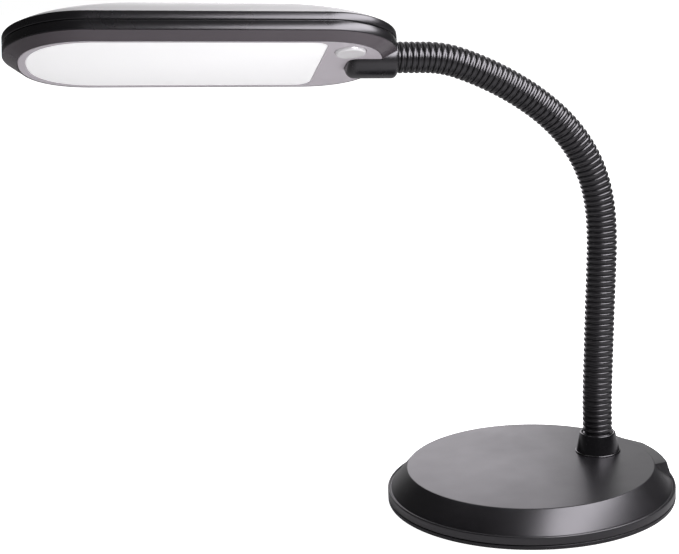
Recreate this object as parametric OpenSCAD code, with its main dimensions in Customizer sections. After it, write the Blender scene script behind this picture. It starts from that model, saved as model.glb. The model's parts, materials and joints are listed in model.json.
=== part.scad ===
// Gooseneck LED desk lamp, in millimetres, +Z up.
// The origin is the centre of the base's underside. The neck stands on +X and reaches over to -X.

/* [Base] */
// Radius of the base at its rim
base_r = 95; // [90:0.5:110]
// Height of the base's top disc above the desk
base_h = 21.7; // [20:0.1:26]
// Radius of the flat top disc
disc_r = 82; // [80:0.5:85]
// Rounding of the top disc's edge
disc_round = 1.2; // [0.6:0.1:2]
// Height of the rim's top edge above the desk
rim_h = 9; // [7:0.1:10]
// Width of the step between the rim and the sloped band
rim_step = 2.7; // [1.5:0.1:4]
// Wall of the base cover
cover_wall = 2.5; // [2:0.1:3]
// Thickness of the base plate
plate_t = 3; // [2:0.1:4]
// Thickness of the foot pad
pad_t = 0.6; // [0.5:0.1:1.5]
// Radius of the foot pad
pad_r = 86; // [76:0.5:88]
// Radius of the base weight
weight_r = 69; // [67:0.5:71]
// Height of the base weight
weight_h = 12; // [9:0.5:12.5]

/* [Power inlet] */
// Direction of the rear tab that holds the power jack, from +X, in degrees
tab_turn = -9; // [-20:1:20]
// Angle that the rear tab's outer edge spans, in degrees
tab_span = 24; // [18:1:30]
// Angle by which the tab is wider at its root, on each side, in degrees
tab_flare = 8; // [4:1:10]
// Radius of the tab's outer edge
tab_r = 91; // [90:0.5:92]
// Drop of the tab's outer edge below the top disc
tab_drop = 3; // [2:0.1:4]
// Radius of the power jack's barrel
jack_r = 4; // [3.5:0.1:4.2]
// Radius of the power jack's bore
jack_bore_r = 2.8; // [2.5:0.05:3]

/* [Neck] */
// Distance of the neck's foot from the base's centre
neck_x = 52; // [45:0.5:53]
// Turn of the neck's plane from the base's middle plane, in degrees
neck_yaw = -10; // [-30:0.5:30]
// Diameter over the sleeve's ribs
rib_d = 19.8; // [18.5:0.1:20]
// Distance from one rib to the next
rib_pitch = 3.65; // [3.4:0.05:3.8]
// Width of a groove between ribs
groove_w = 1.2; // [0.9:0.05:1.4]
// Depth of a groove between ribs
groove_depth = 1.3; // [0.8:0.1:1.6]
// Diameter of the core in the sleeve
core_d = 12; // [11:0.1:13]
// Diameter of the wire passage through the core
wire_d = 5; // [4:0.1:6]
// Most that one link turns against the next, in degrees
link_limit = 7; // [4:0.5:7]
// Height of the collar round the neck's foot
collar_h = 13.5; // [10:0.5:16]
// Radius of the collar's foot
collar_foot_r = 15.2; // [14:0.1:16]
// Radius of the collar's top
collar_top_r = 12; // [11.5:0.1:13]
// Radius of the threaded stud under the neck
stud_r = 5; // [4:0.1:5.2]

/* [Head] */
// Length of the head
head_l = 239; // [232:1:266]
// Width of the head
head_w = 100; // [98:0.5:104]
// Roll of the head about its length, in degrees
head_roll = 20.5; // [-30:0.5:30]
// Wall of the head's shells
shell_wall = 2.5; // [2:0.1:3]
// Height of the lower shell's band
lower_band = 5.8; // [5.5:0.1:6]
// Height of the upper shell's band
upper_band = 5.3; // [5:0.1:7]
// Width of the groove between the two bands
seam = 0.6; // [0.4:0.1:0.8]
// Depth of that groove
seam_depth = 1.2; // [0.6:0.1:1.4]
// Height of the bezel below the bands
bezel_h = 5.5; // [5.3:0.1:6]
// Inset of the bezel's foot along the sides
bezel_side = 4; // [3:0.1:4.5]
// Inset of the bezel's foot at the ends
bezel_end = 10; // [8:0.5:10]
// Height of the domed top cover
dome_h = 16.5; // [12:0.5:20]
// Wall of the domed top cover
dome_wall = 2; // [1.5:0.1:2.5]
// Height of the neck's axis above the underside
axis_h = 5; // [4.8:0.1:5.2]
// Radius of the neck socket
socket_r = 13; // [12.5:0.1:13.4]
// Length of the neck socket
socket_l = 32; // [28:0.5:36]

/* [Lens and button] */
// Thickness of the lens frame
frame_t = 1.8; // [1.5:0.1:2]
// Width of the frame's lip beside the lens
lens_lip = 2.5; // [1.5:0.1:5]
// Distance of the lens's round end from the tip of the head
lens_tip = 13.5; // [12.5:0.5:20]
// Distance of the lens's straight edge from the neck's end of the head
lens_start = 48.7; // [48:0.1:50]
// Corner radius at the lens's straight edge
lens_corner = 9; // [4:0.5:12]
// Diameter of the push button
button_d = 18.6; // [16:0.1:19]
// Distance of the push button from the neck's end of the head
button_x = 33.7; // [33:0.1:34.5]
// Distance of the push button from the head's middle line
button_y = 26.5; // [26:0.1:27]
// Travel of the push button
button_travel = 0.8; // [0.5:0.1:1]
// How far the push button stands out of the frame
button_proud = 1.8; // [1:0.1:2.4]

/* [Hidden] */
$fn = 48;
fit = 0.3;
screw_r = 1.5;
screw_fit = 0.1;
screw_head_r = 2.8;
screw_head_h = 1.6;
boss_r = 4;

// Turn of each neck link towards the head, in degrees: upright at the foot, over the arch, straight into the head
turns = [0, -2.5, 0, 0, -0.5, 0.5, 4.5, 10, 13.5, 13, 10.5, 7.5, 6, 6, 18, 0];
links = len(turns);
ribs = 6;
link_l = ribs * rib_pitch;

// Levels in the base
plate_z = pad_t;
cover_z = plate_z + plate_t;
cavity_z = base_h - cover_wall;
band_r = base_r - rim_step;
band_slope = (band_r - disc_r) / (base_h - rim_h);
collar_floor = 2.7;
neck_z = base_h + collar_floor + fit;
weight_gap = 4;
base_boss_r = weight_r + weight_gap + boss_r;
base_screw_l = 11;
tab_root_r = disc_r - 6;
collar_round = 1;
collar_lip = 1;
collar_step = 0.7;
base_boss_turns = [45, 135, 225, 315];
washer_r = 11;
washer_t = 1.5;
nut_h = 5.5;
nut_flats = 17;
stud_z = cavity_z - washer_t - nut_h - 1.5;

// Radii in the neck
rib_r = rib_d / 2;
sleeve_r = rib_r - groove_depth;
core_r = core_d / 2;
bore_r = core_r + fit;
ball_r = core_r - 0.4;
cup_r = ball_r + fit;
core_gap = core_r * sin(link_limit) + 0.45;
joint_gap = rib_r * sin(link_limit) + 0.25;
mouth_r = rib_r + fit;

// Levels in the head, from the neck's axis
lens_z = -axis_h;
frame_z = lens_z + frame_t;
lower_z = lens_z + bezel_h;
lower_top = lower_z + lower_band;
upper_z = lower_top + seam;
upper_top = upper_z + upper_band;
web_t = 3;
web_z = upper_top - web_t;
half_w = head_w / 2;
neck_insert = 2.8;
socket_round = 2;
band_round = 1.2;
cover_inset = band_round + 0.3;
dome_power = 1.5;
lip = 0.5;
frame_hw = half_w - bezel_side - lip;
frame_x0 = bezel_end + lip;
frame_x1 = head_l - bezel_end - lip;
lens_hw = frame_hw - lens_lip;
lens_w = 2 * lens_hw;
lens_l = head_l - lens_start - lens_tip;
flange_t = 1;
flange_w = 1.2;
tray_z = frame_z + flange_t;
tray_wall = 1.6;
led_z = lower_top - 2.3;
board_t = 1.6;
led_size = 3;
led_h = 0.8;
led_rows = 4;
led_columns = 12;
switch_z = 1;
switch_body_h = 1.7;
button_flange = 1;
switch_post_r = 1.5;
switch_turn = 55;
switch_post_reach = button_d / 2 + button_flange + fit + switch_post_r;
ferrule_r = 6.5;
ferrule_l = 17;
clamp_x0 = 6;
clamp_l = 13;
clamp_w = 30;
clamp_t = 2.7;
clamp_screw_y = 9.3;

// Screws of the head, on bosses that run into the shells' walls at its two round ends
boss_sink = 2.2;
screw_reach = half_w - shell_wall - boss_sink;
neck_screw_turn = 48.6;
tip_screw_turn = 13;
screw_spots = concat(
    [for (side = [-1, 1]) [half_w - screw_reach * cos(neck_screw_turn), side * screw_reach * sin(neck_screw_turn)]],
    [for (side = [-1, 1])
        [head_l - half_w + screw_reach * cos(tip_screw_turn), side * screw_reach * sin(tip_screw_turn)]]
);

// Points of an arc about c, from angle a0 to a1
function arc(c, r, a0, a1, n = 6) =
    [for (k = [0:n]) let (a = a0 + (a1 - a0) * k / n) c + r * [cos(a), sin(a)]];

// The neck's line: angle above the horizontal and place of the start of link i, in the neck's own plane
function neck_angle(i) = i == 0 ? 90 : neck_angle(i - 1) - turns[i - 1];
function bend_radius(i) = link_l * 180 / (PI * turns[i]);
function link_step(i) =
    let (a = neck_angle(i), b = neck_angle(i + 1))
    turns[i] == 0 ? link_l * [cos(a), sin(a)] : bend_radius(i) * [sin(a) - sin(b), cos(b) - cos(a)];
function neck_point(i) = i == 0 ? [0, neck_z] : neck_point(i - 1) + link_step(i - 1);

// Places its children in the neck's plane, at the start of link i, with +Z along the neck and +X inside the bend
module at_link(i) {
    p = neck_point(i);
    translate([neck_x, 0, 0])
        rotate([0, 0, 180 + neck_yaw])
            translate([p[0], 0, p[1]])
                rotate([0, 90 - neck_angle(i), 0])
                    children();
}

// Sweeps a round profile of radius r along link i, from station s0 to s1
module along(i, s0, s1, r) {
    turn = abs(turns[i]);
    if (turn == 0) {
        translate([0, 0, s0]) cylinder(r = r, h = s1 - s0);
    } else {
        radius = abs(bend_radius(i));
        mirror([turns[i] < 0 ? 1 : 0, 0, 0])
            translate([radius, 0, 0])
                rotate([90, 0, 180])
                    rotate([0, 0, turn * s0 / link_l])
                        rotate_extrude(angle = turn * (s1 - s0) / link_l)
                            translate([radius, 0])
                                circle(r = r);
    }
}

// Places its children in the head's frame: origin on the neck's axis at the head's end, +X to the tip, +Z up
module at_head() {
    at_link(links)
        rotate([0, -90, 0])
            rotate([head_roll, 0, 0])
                translate([-neck_insert, 0, 0])
                    children();
}

// Sweeps a profile, drawn as distance from the middle line and height, round the head's long outline
module round_head() {
    translate([half_w, 0, 0]) rotate([0, 0, 90]) rotate_extrude(angle = 180) children();
    translate([head_l - half_w, 0, 0]) rotate([0, 0, -90]) rotate_extrude(angle = 180) children();
    for (side = [0, 1])
        mirror([0, side, 0])
            translate([half_w, 0, 0])
                rotate([90, 0, 90])
                    linear_extrude(head_l - head_w)
                        children();
}

// A thin slice with round ends, from x0 to x1, of half width hw at height z
module slice(x0, x1, hw, z) {
    for (x = [x0 + hw, x1 - hw])
        translate([x, 0, z]) cylinder(r = hw, h = 0.02);
}

// Outline of the lens frame with round ends, grown by g
function frame_outline(g) = concat(
    arc([frame_x1 - frame_hw, 0], frame_hw + g, -90, 90, 32),
    arc([frame_x0 + frame_hw, 0], frame_hw + g, 90, 270, 32)
);

// Outline of the lens, round at the tip and straight at the neck's end, grown by g
function lens_outline(g) =
    let (x0 = lens_start + lens_corner, y = lens_hw - lens_corner)
    concat(
        arc([lens_start + lens_l - lens_hw, 0], lens_hw + g, -90, 90, 32),
        arc([x0, y], lens_corner + g, 90, 180, 6),
        arc([x0, -y], lens_corner + g, 180, 270, 6)
    );

// The neck socket's solid, grown by g: a cylinder on the neck's axis with a rounded mouth and nose
module socket_form(g) {
    rotate([0, 90, 0])
        rotate_extrude()
            polygon(concat(
                [[0, -g]],
                arc([socket_r - socket_round, socket_round], socket_round + g, -90, 0, 4),
                arc([0, socket_l - socket_r], socket_r + g, 0, 90, 8)
            ));
}

// A cylinder along the neck's axis in the head
module head_axis(x0, x1, r) {
    translate([x0, 0, 0]) rotate([0, 90, 0]) cylinder(r = r, h = x1 - x0);
}

module foot_pad() {
    color("dimgray") cylinder(r = pad_r, h = pad_t);
}

module base_plate() {
    color("black")
        difference() {
            translate([0, 0, plate_z]) cylinder(r = base_r, h = plate_t);
            for (a = base_boss_turns) {
                rotate(a) translate([base_boss_r, 0, plate_z - 1]) cylinder(r = screw_r + screw_fit, h = plate_t + 2);
                rotate(a) translate([base_boss_r, 0, plate_z - 1])
                    cylinder(r = screw_head_r + screw_fit, h = screw_head_h + 1);
            }
        }
}

module base_screws() {
    color("silver")
        for (a = base_boss_turns)
            rotate(a) translate([base_boss_r, 0, plate_z]) {
                cylinder(r = screw_head_r, h = screw_head_h);
                cylinder(r = screw_r, h = base_screw_l);
            }
}

module base_weight() {
    color("dimgray")
        difference() {
            translate([0, 0, cover_z]) cylinder(r = weight_r, h = weight_h);
            translate([neck_x, 0, cover_z - 1]) cylinder(r = washer_r + 2, h = weight_h + 2);
        }
}

// Outer and inner outline of the cover, as radius and height
module cover_outline() {
    edge = disc_r - disc_round;
    polygon(concat(
        [[0, cover_z], [base_r, cover_z]],
        arc([base_r - 1, rim_h - 1], 1, 0, 80, 3),
        [[band_r, rim_h - 0.6]],
        arc([edge, base_h - disc_round], disc_round, atan(band_slope), 90, 4),
        [[0, base_h]]
    ));
}

module cover_cavity() {
    wall_r = base_r - cover_wall;
    polygon([
        [0, cover_z - 1], [wall_r, cover_z - 1], [wall_r, rim_h - cover_wall],
        [band_r - cover_wall, rim_h - cover_wall + 0.5], [disc_r - cover_wall - disc_round, cavity_z], [0, cavity_z]
    ]);
}

// The tab behind the neck that houses the power jack: it narrows outwards and its top falls towards the rim
module rear_tab() {
    outer = tab_r * [cos(tab_span / 2), sin(tab_span / 2)];
    inner = disc_r * [cos(tab_span / 2 + tab_flare), sin(tab_span / 2 + tab_flare)];
    far = 2 * outer - inner;
    near = 2 * inner - outer;
    reach = 2 * (tab_span + tab_flare);
    tab_foot = rim_h - 2;
    intersection() {
        rotate(tab_turn - reach / 2)
            rotate_extrude(angle = reach)
                polygon([
                    [tab_root_r, tab_foot], [tab_root_r, cavity_z - cover_wall], [disc_r - disc_round, base_h - 0.3],
                    [tab_r, base_h - tab_drop], [tab_r + 0.6, tab_foot]
                ]);
        rotate(tab_turn)
            linear_extrude(base_h)
                polygon([near, far, [far[0], -far[1]], [near[0], -near[1]]]);
    }
}

module base_cover() {
    jack_z = (rim_h + base_h - tab_drop) / 2;
    color([0.12, 0.12, 0.13])
        difference() {
            union() {
                difference() {
                    union() {
                        rotate_extrude() cover_outline();
                        rear_tab();
                    }
                    rotate_extrude() cover_cavity();
                }
                for (a = base_boss_turns)
                    rotate(a) translate([base_boss_r, 0, cover_z]) cylinder(r = boss_r, h = cavity_z - cover_z + 0.5);
            }
            for (a = base_boss_turns)
                rotate(a) translate([base_boss_r, 0, plate_z])
                    cylinder(r = screw_r + screw_fit, h = base_screw_l + fit);
            translate([neck_x, 0, cavity_z - 1]) cylinder(r = stud_r + fit, h = cover_wall + 2);
            rotate(tab_turn) translate([disc_r - 12, 0, jack_z]) rotate([0, 90, 0])
                cylinder(r = jack_r + fit, h = 30);
        }
}

module power_jack() {
    jack_z = (rim_h + base_h - tab_drop) / 2;
    jack_l = 14;
    color("black")
        rotate(tab_turn)
            translate([tab_r - jack_l + 0.4, 0, jack_z])
                rotate([0, 90, 0]) {
                    difference() {
                        cylinder(r = jack_r, h = jack_l);
                        translate([0, 0, 3]) cylinder(r = jack_bore_r, h = jack_l);
                    }
                    translate([0, 0, 2]) cylinder(r = 1, h = jack_l - 4);
                }
}

module neck_collar() {
    color([0.08, 0.08, 0.08])
        translate([neck_x, 0, base_h])
            difference() {
                rotate_extrude()
                    polygon(concat(
                        [[0, 0], [collar_foot_r, 0], [collar_foot_r, collar_lip]],
                        [[collar_foot_r - collar_step, collar_lip]],
                        arc([collar_top_r - collar_round, collar_h - collar_round], collar_round, 10, 90, 4),
                        [[0, collar_h]]
                    ));
                translate([0, 0, collar_floor]) cylinder(r = mouth_r, h = collar_h);
                translate([0, 0, -1]) cylinder(r = stud_r + fit, h = collar_h);
            }
}

module neck_stud() {
    color("silver")
        translate([neck_x, 0, stud_z])
            difference() {
                cylinder(r = stud_r, h = neck_z - stud_z);
                translate([0, 0, -1]) cylinder(r = wire_d / 2, h = neck_z);
            }
}

module neck_washer() {
    color("silver")
        translate([neck_x, 0, cavity_z - washer_t])
            difference() {
                cylinder(r = washer_r, h = washer_t);
                translate([0, 0, -1]) cylinder(r = stud_r + fit, h = washer_t + 2);
            }
}

module neck_nut() {
    color("silver")
        translate([neck_x, 0, cavity_z - washer_t - nut_h])
            difference() {
                cylinder(r = nut_flats / sqrt(3), h = nut_h, $fn = 6);
                translate([0, 0, -1]) cylinder(r = stud_r + screw_fit, h = nut_h + 2);
            }
}

// One link of the core: a cup at its start turns on the ball at the end of the link before it
module neck_core(i) {
    start = i == 0 ? 0 : core_gap;
    color("silver")
        at_link(i)
            difference() {
                union() {
                    along(i, start, link_l, core_r);
                    if (i < links - 1) along_end(i) sphere(r = ball_r);
                }
                if (i > 0) sphere(r = cup_r);
                along(i, -1, link_l + core_r + 1, wire_d / 2);
            }
}

// Places its children at the end of link i, seen from its start
module along_end(i) {
    radius = turns[i] == 0 ? 0 : bend_radius(i);
    x = turns[i] == 0 ? 0 : radius * (1 - cos(turns[i]));
    z = turns[i] == 0 ? link_l : radius * sin(turns[i]);
    translate([x, 0, z]) rotate([0, turns[i], 0]) children();
}

// One link of the ribbed sleeve
module neck_sleeve(i) {
    start = i == 0 ? 0 : joint_gap / 2;
    end = i == links - 1 ? link_l : link_l - joint_gap / 2;
    color([0.1, 0.1, 0.1])
        at_link(i)
            difference() {
                union() {
                    along(i, start, end, sleeve_r);
                    for (k = [0:ribs - 1]) {
                        rib_start = max(start, k * rib_pitch + groove_w / 2);
                        rib_end = min(end, (k + 1) * rib_pitch - groove_w / 2);
                        along(i, rib_start, rib_end, rib_r);
                    }
                }
                along(i, -1, link_l + 1, bore_r);
            }
}

module neck_ferrule() {
    color("silver")
        at_head()
            difference() {
                head_axis(neck_insert, neck_insert + ferrule_l, ferrule_r);
                head_axis(neck_insert - 1, neck_insert + ferrule_l + 1, wire_d / 2);
            }
}

module neck_clamp() {
    color("silver")
        at_head()
            difference() {
                translate([clamp_x0, -clamp_w / 2, lower_top]) cube([clamp_l, clamp_w, clamp_t]);
                head_axis(0, socket_l, ferrule_r + fit);
                for (y = [-clamp_screw_y, clamp_screw_y])
                    translate([clamp_x0 + clamp_l / 2, y, lower_top]) {
                        translate([0, 0, -1]) cylinder(r = screw_r + screw_fit, h = clamp_t + 2);
                        translate([0, 0, clamp_t - screw_head_h]) cylinder(r = screw_head_r + screw_fit, h = 3);
                    }
            }
}

module clamp_screws() {
    color("silver")
        at_head()
            for (y = [-clamp_screw_y, clamp_screw_y])
                translate([clamp_x0 + clamp_l / 2, y, lower_top]) {
                    translate([0, 0, -6]) cylinder(r = screw_r, h = 6 + clamp_t - 0.2);
                    translate([0, 0, clamp_t - screw_head_h]) cylinder(r = screw_head_r, h = screw_head_h);
                }
}

module lower_shell() {
    color([0.1, 0.1, 0.1])
        at_head()
            difference() {
                union() {
                    round_head()
                        polygon([
                            [half_w - shell_wall, lower_z], [half_w, lower_z], [half_w, lower_top],
                            [half_w - seam_depth, lower_top], [half_w - seam_depth, upper_z],
                            [half_w - shell_wall, upper_z]
                        ]);
                    for (p = screw_spots)
                        translate([p[0], p[1], lower_z]) cylinder(r = boss_r, h = upper_z - lower_z);
                    difference() {
                        socket_form(0);
                        translate([-1, -head_w / 2, lower_top]) cube([head_w, head_w, head_w]);
                    }
                }
                head_axis(-1, neck_insert + fit, mouth_r);
                head_axis(-1, neck_insert + ferrule_l + fit, ferrule_r + fit);
                for (p = screw_spots)
                    translate([p[0], p[1], lower_z + 1]) cylinder(r = screw_r + screw_fit, h = lower_band + 2);
                for (y = [-clamp_screw_y, clamp_screw_y])
                    translate([clamp_x0 + clamp_l / 2, y, lower_top - 6.5]) cylinder(r = screw_r + screw_fit, h = 10);
            }
}

module bezel() {
    color([0.25, 0.23, 0.25])
        at_head()
            difference() {
                hull() {
                    slice(0, head_l, half_w, lower_z - 0.02);
                    slice(bezel_end, head_l - bezel_end, half_w - bezel_side, lens_z);
                }
                translate([0, 0, lens_z - 1]) linear_extrude(bezel_h + 2) polygon(frame_outline(0));
                socket_form(fit);
                translate([-1, -mouth_r, lens_z - 1]) cube([socket_l / 2, 2 * mouth_r, bezel_h + 2]);
            }
}

module lens_frame() {
    color([0.69, 0.67, 0.69])
        at_head()
            difference() {
                union() {
                    translate([0, 0, lens_z]) linear_extrude(frame_t) polygon(frame_outline(-fit / 2));
                    translate([button_x, button_y, lens_z + 1])
                        rotate(switch_turn)
                            for (x = [-switch_post_reach, switch_post_reach])
                                translate([x, 0, 0]) cylinder(r = switch_post_r, h = switch_z - lens_z - 1);
                }
                translate([0, 0, lens_z - 1]) linear_extrude(frame_t + 2) polygon(lens_outline(0));
                translate([button_x, button_y, lens_z - 1]) cylinder(r = button_d / 2 + fit, h = frame_t + 2);
                socket_form(fit);
            }
}

module diffuser() {
    color("white")
        at_head() {
            translate([0, 0, lens_z + 0.2]) linear_extrude(frame_t - 0.2) polygon(lens_outline(-fit / 2));
            translate([0, 0, frame_z]) linear_extrude(flange_t) polygon(lens_outline(flange_w));
        }
}

module light_tray() {
    color("white")
        at_head()
            translate([0, 0, tray_z])
                linear_extrude(led_z - tray_z)
                    difference() {
                        polygon(lens_outline(flange_w));
                        polygon(lens_outline(flange_w - tray_wall));
                    }
}

module led_board() {
    color("gainsboro")
        at_head()
            translate([0, 0, led_z]) linear_extrude(board_t) polygon(lens_outline(flange_w));
}

module leds() {
    margin = 14;
    step_x = (lens_l - lens_hw - margin) / (led_columns - 1);
    step_y = (lens_w - 2 * margin) / (led_rows - 1);
    color("khaki")
        at_head()
            for (column = [0:led_columns - 1], row = [0:led_rows - 1])
                translate([lens_start + margin + column * step_x, (row - (led_rows - 1) / 2) * step_y, led_z - led_h])
                    translate([-led_size / 2, -led_size / 2, 0])
                        cube([led_size, led_size, led_h]);
}

module switch_board() {
    board_w = 11;
    board_l = 2 * (switch_post_reach + switch_post_r);
    body = 6;
    color("seagreen")
        at_head()
            translate([button_x, button_y, switch_z])
                rotate(switch_turn) {
                    translate([-board_l / 2, -board_w / 2, 0]) cube([board_l, board_w, board_t]);
                    translate([-body / 2, -body / 2, -switch_body_h]) cube([body, body, switch_body_h]);
                }
}

module push_button() {
    cap_r = button_d / 2;
    bevel = 1;
    flange_z = frame_z + fit / 2;
    stem_top = switch_z - switch_body_h - button_travel - 0.1;
    color("silver")
        at_head()
            translate([button_x, button_y, 0])
                rotate_extrude()
                    polygon([
                        [0, lens_z - button_proud], [cap_r - bevel, lens_z - button_proud],
                        [cap_r, lens_z - button_proud + bevel], [cap_r, flange_z],
                        [cap_r + button_flange, flange_z], [cap_r + button_flange, flange_z + 0.8],
                        [2.5, flange_z + 0.8], [2.5, stem_top], [0, stem_top]
                    ]);
}

module driver_board() {
    board_l = 90;
    board_w = 36;
    chip = 14;
    chip_h = 1.4;
    coil_r = 6;
    color("seagreen")
        at_head()
            translate([head_l / 2, 0, web_z - board_t]) {
                translate([-board_l / 2, -board_w / 2, 0]) cube([board_l, board_w, board_t]);
                for (x = [-board_l / 3, 0])
                    translate([x - chip / 2, -chip / 2, -chip_h]) cube([chip, chip, chip_h]);
                translate([board_l / 3, 0, -chip_h]) cylinder(r = coil_r, h = chip_h);
            }
}

module upper_shell() {
    color([0.1, 0.1, 0.1])
        at_head()
            difference() {
                union() {
                    round_head()
                        polygon(concat(
                            [[half_w - shell_wall, upper_z], [half_w, upper_z]],
                            arc([half_w - band_round, upper_top - band_round], band_round, 0, 90, 4),
                            [[0, upper_top], [0, web_z], [half_w - shell_wall, web_z]]
                        ));
                    for (p = screw_spots)
                        translate([p[0], p[1], upper_z]) cylinder(r = boss_r, h = web_z - upper_z + 0.5);
                }
                head_axis(-1, neck_insert + fit, mouth_r);
                for (p = screw_spots) {
                    translate([p[0], p[1], upper_z - 1]) cylinder(r = screw_r + screw_fit, h = upper_band + 2);
                    translate([p[0], p[1], upper_top - screw_head_h]) cylinder(r = screw_head_r + screw_fit, h = 3);
                }
            }
}

module head_screws() {
    color("silver")
        at_head()
            for (p = screw_spots)
                translate([p[0], p[1], 0]) {
                    translate([0, 0, lower_z + 2]) cylinder(r = screw_r, h = upper_top - lower_z - 2.2);
                    translate([0, 0, upper_top - screw_head_h]) cylinder(r = screw_head_r, h = screw_head_h - 0.1);
                }
}

// The dome's outer or inner form: slices that shrink towards its top, steep at the edge and flat in the middle
module dome_form(inset) {
    steps = 7;
    hull()
        for (k = [0:steps]) {
            angle = k * 84 / steps;
            side = (half_w - cover_inset - inset) * cos(angle);
            reach = (head_l / 2 - cover_inset - inset) * cos(angle);
            rise = (dome_h - inset) * pow(sin(angle), dome_power);
            slice(head_l / 2 - reach, head_l / 2 + reach, side, upper_top + rise);
        }
}

module top_cover() {
    color([0.85, 0.85, 0.85])
        at_head()
            difference() {
                dome_form(0);
                translate([0, 0, -0.01]) dome_form(dome_wall);
            }
}

foot_pad();
base_plate();
base_screws();
base_weight();
base_cover();
power_jack();
neck_collar();
neck_stud();
neck_washer();
neck_nut();
for (i = [1:links]) {
    neck_core(i - 1);
    neck_sleeve(i - 1);
}
neck_ferrule();
neck_clamp();
clamp_screws();
lower_shell();
bezel();
lens_frame();
diffuser();
light_tray();
led_board();
leds();
switch_board();
push_button();
driver_board();
upper_shell();
head_screws();
top_cover();
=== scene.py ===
"""Gooseneck LED desk lamp: its surfaces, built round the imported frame. Metres, +Z up, neck on +X."""
import json
import math

import bmesh
import bpy
from mathutils import Matrix, Vector


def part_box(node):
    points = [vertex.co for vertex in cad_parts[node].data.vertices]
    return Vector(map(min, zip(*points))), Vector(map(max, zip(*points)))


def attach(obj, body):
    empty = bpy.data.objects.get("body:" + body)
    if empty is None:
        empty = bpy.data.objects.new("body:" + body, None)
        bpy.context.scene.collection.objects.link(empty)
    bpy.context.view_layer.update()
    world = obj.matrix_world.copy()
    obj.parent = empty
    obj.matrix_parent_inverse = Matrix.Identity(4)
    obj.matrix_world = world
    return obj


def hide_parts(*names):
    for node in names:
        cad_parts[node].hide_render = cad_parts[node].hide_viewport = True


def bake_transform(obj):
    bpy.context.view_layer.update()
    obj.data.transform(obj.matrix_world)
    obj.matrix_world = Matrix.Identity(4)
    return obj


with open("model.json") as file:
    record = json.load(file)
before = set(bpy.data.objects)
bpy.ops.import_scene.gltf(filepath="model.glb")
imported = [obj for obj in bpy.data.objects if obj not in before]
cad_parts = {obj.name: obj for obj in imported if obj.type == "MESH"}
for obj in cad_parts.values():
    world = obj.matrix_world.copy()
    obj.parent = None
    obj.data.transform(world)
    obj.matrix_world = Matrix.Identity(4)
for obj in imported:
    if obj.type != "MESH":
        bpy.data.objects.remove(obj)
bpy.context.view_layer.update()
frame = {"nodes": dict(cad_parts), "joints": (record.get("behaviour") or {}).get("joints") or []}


# Camera
# A long lens in front of the lamp, a little above the desk and to the left of the base.
# It looks slightly down, and it is rolled by the same few degrees as the photograph.
camera_data = bpy.data.cameras.new("camera")
camera_data.sensor_width = 36
camera_data.lens = 74.23
camera = bpy.data.objects.new("camera", camera_data)
camera_turn = Matrix.Rotation(math.radians(-19.7), 4, "Z")
camera_tilt = Matrix.Rotation(math.radians(77.76), 4, "X")
camera_roll = Matrix.Rotation(math.radians(-3.05), 4, "Z")
camera_place = Matrix.Translation((-0.411, -0.7924, 0.3471))
camera.matrix_world = camera_place @ camera_turn @ camera_tilt @ camera_roll
bpy.context.scene.collection.objects.link(camera)
bpy.context.scene.camera = camera
bpy.context.scene.view_settings.view_transform = "Standard"


# Studio floor
# A wide sheet of matt paper under the lamp. It stays white to the camera, takes a soft shadow, and shows
# as a grey in glossy pieces.
floor_size = 40.0
floor_mesh = bmesh.new()
bmesh.ops.create_grid(floor_mesh, x_segments=1, y_segments=1, size=floor_size / 2)
floor_data = bpy.data.meshes.new("floor")
floor_mesh.to_mesh(floor_data)
floor_mesh.free()
floor = bpy.data.objects.new("floor", floor_data)
bpy.context.scene.collection.objects.link(floor)
paper = bpy.data.materials.new("paper")
paper.use_nodes = True
paper_nodes = paper.node_tree.nodes
paper_links = paper.node_tree.links
paper_shader = paper_nodes["Principled BSDF"]
paper_shader.inputs["Roughness"].default_value = 0.9
paper_shader.inputs["Specular IOR Level"].default_value = 0.1
paper_grain = paper_nodes.new("ShaderNodeTexNoise")
paper_grain.inputs["Scale"].default_value = 60
paper_tone = paper_nodes.new("ShaderNodeValToRGB")
paper_tone.color_ramp.elements[0].color = (0.86, 0.86, 0.86, 1)
paper_tone.color_ramp.elements[1].color = (0.90, 0.90, 0.90, 1)
paper_links.new(paper_grain.outputs["Fac"], paper_tone.inputs["Fac"])
paper_eye = paper_nodes.new("ShaderNodeLightPath")
paper_dim = paper_nodes.new("ShaderNodeMix")
paper_dim.data_type = "RGBA"
paper_dim.inputs["B"].default_value = (0.4, 0.4, 0.4, 1)
paper_links.new(paper_eye.outputs["Is Glossy Ray"], paper_dim.inputs["Factor"])
paper_links.new(paper_tone.outputs["Color"], paper_dim.inputs["A"])
paper_links.new(paper_dim.outputs["Result"], paper_shader.inputs["Base Color"])
paper_glow = paper_nodes.new("ShaderNodeEmission")
paper_glow.inputs["Color"].default_value = (1, 1, 1, 1)
paper_glow.inputs["Strength"].default_value = 1
paper_sum = paper_nodes.new("ShaderNodeAddShader")
paper_links.new(paper_shader.outputs["BSDF"], paper_sum.inputs[0])
paper_links.new(paper_glow.outputs["Emission"], paper_sum.inputs[1])
paper_choice = paper_nodes.new("ShaderNodeMixShader")
paper_links.new(paper_eye.outputs["Is Camera Ray"], paper_choice.inputs["Fac"])
paper_links.new(paper_shader.outputs["BSDF"], paper_choice.inputs[1])
paper_links.new(paper_sum.outputs["Shader"], paper_choice.inputs[2])
paper_links.new(paper_choice.outputs["Shader"], paper_nodes["Material Output"].inputs["Surface"])
floor_data.materials.append(paper)


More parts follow.
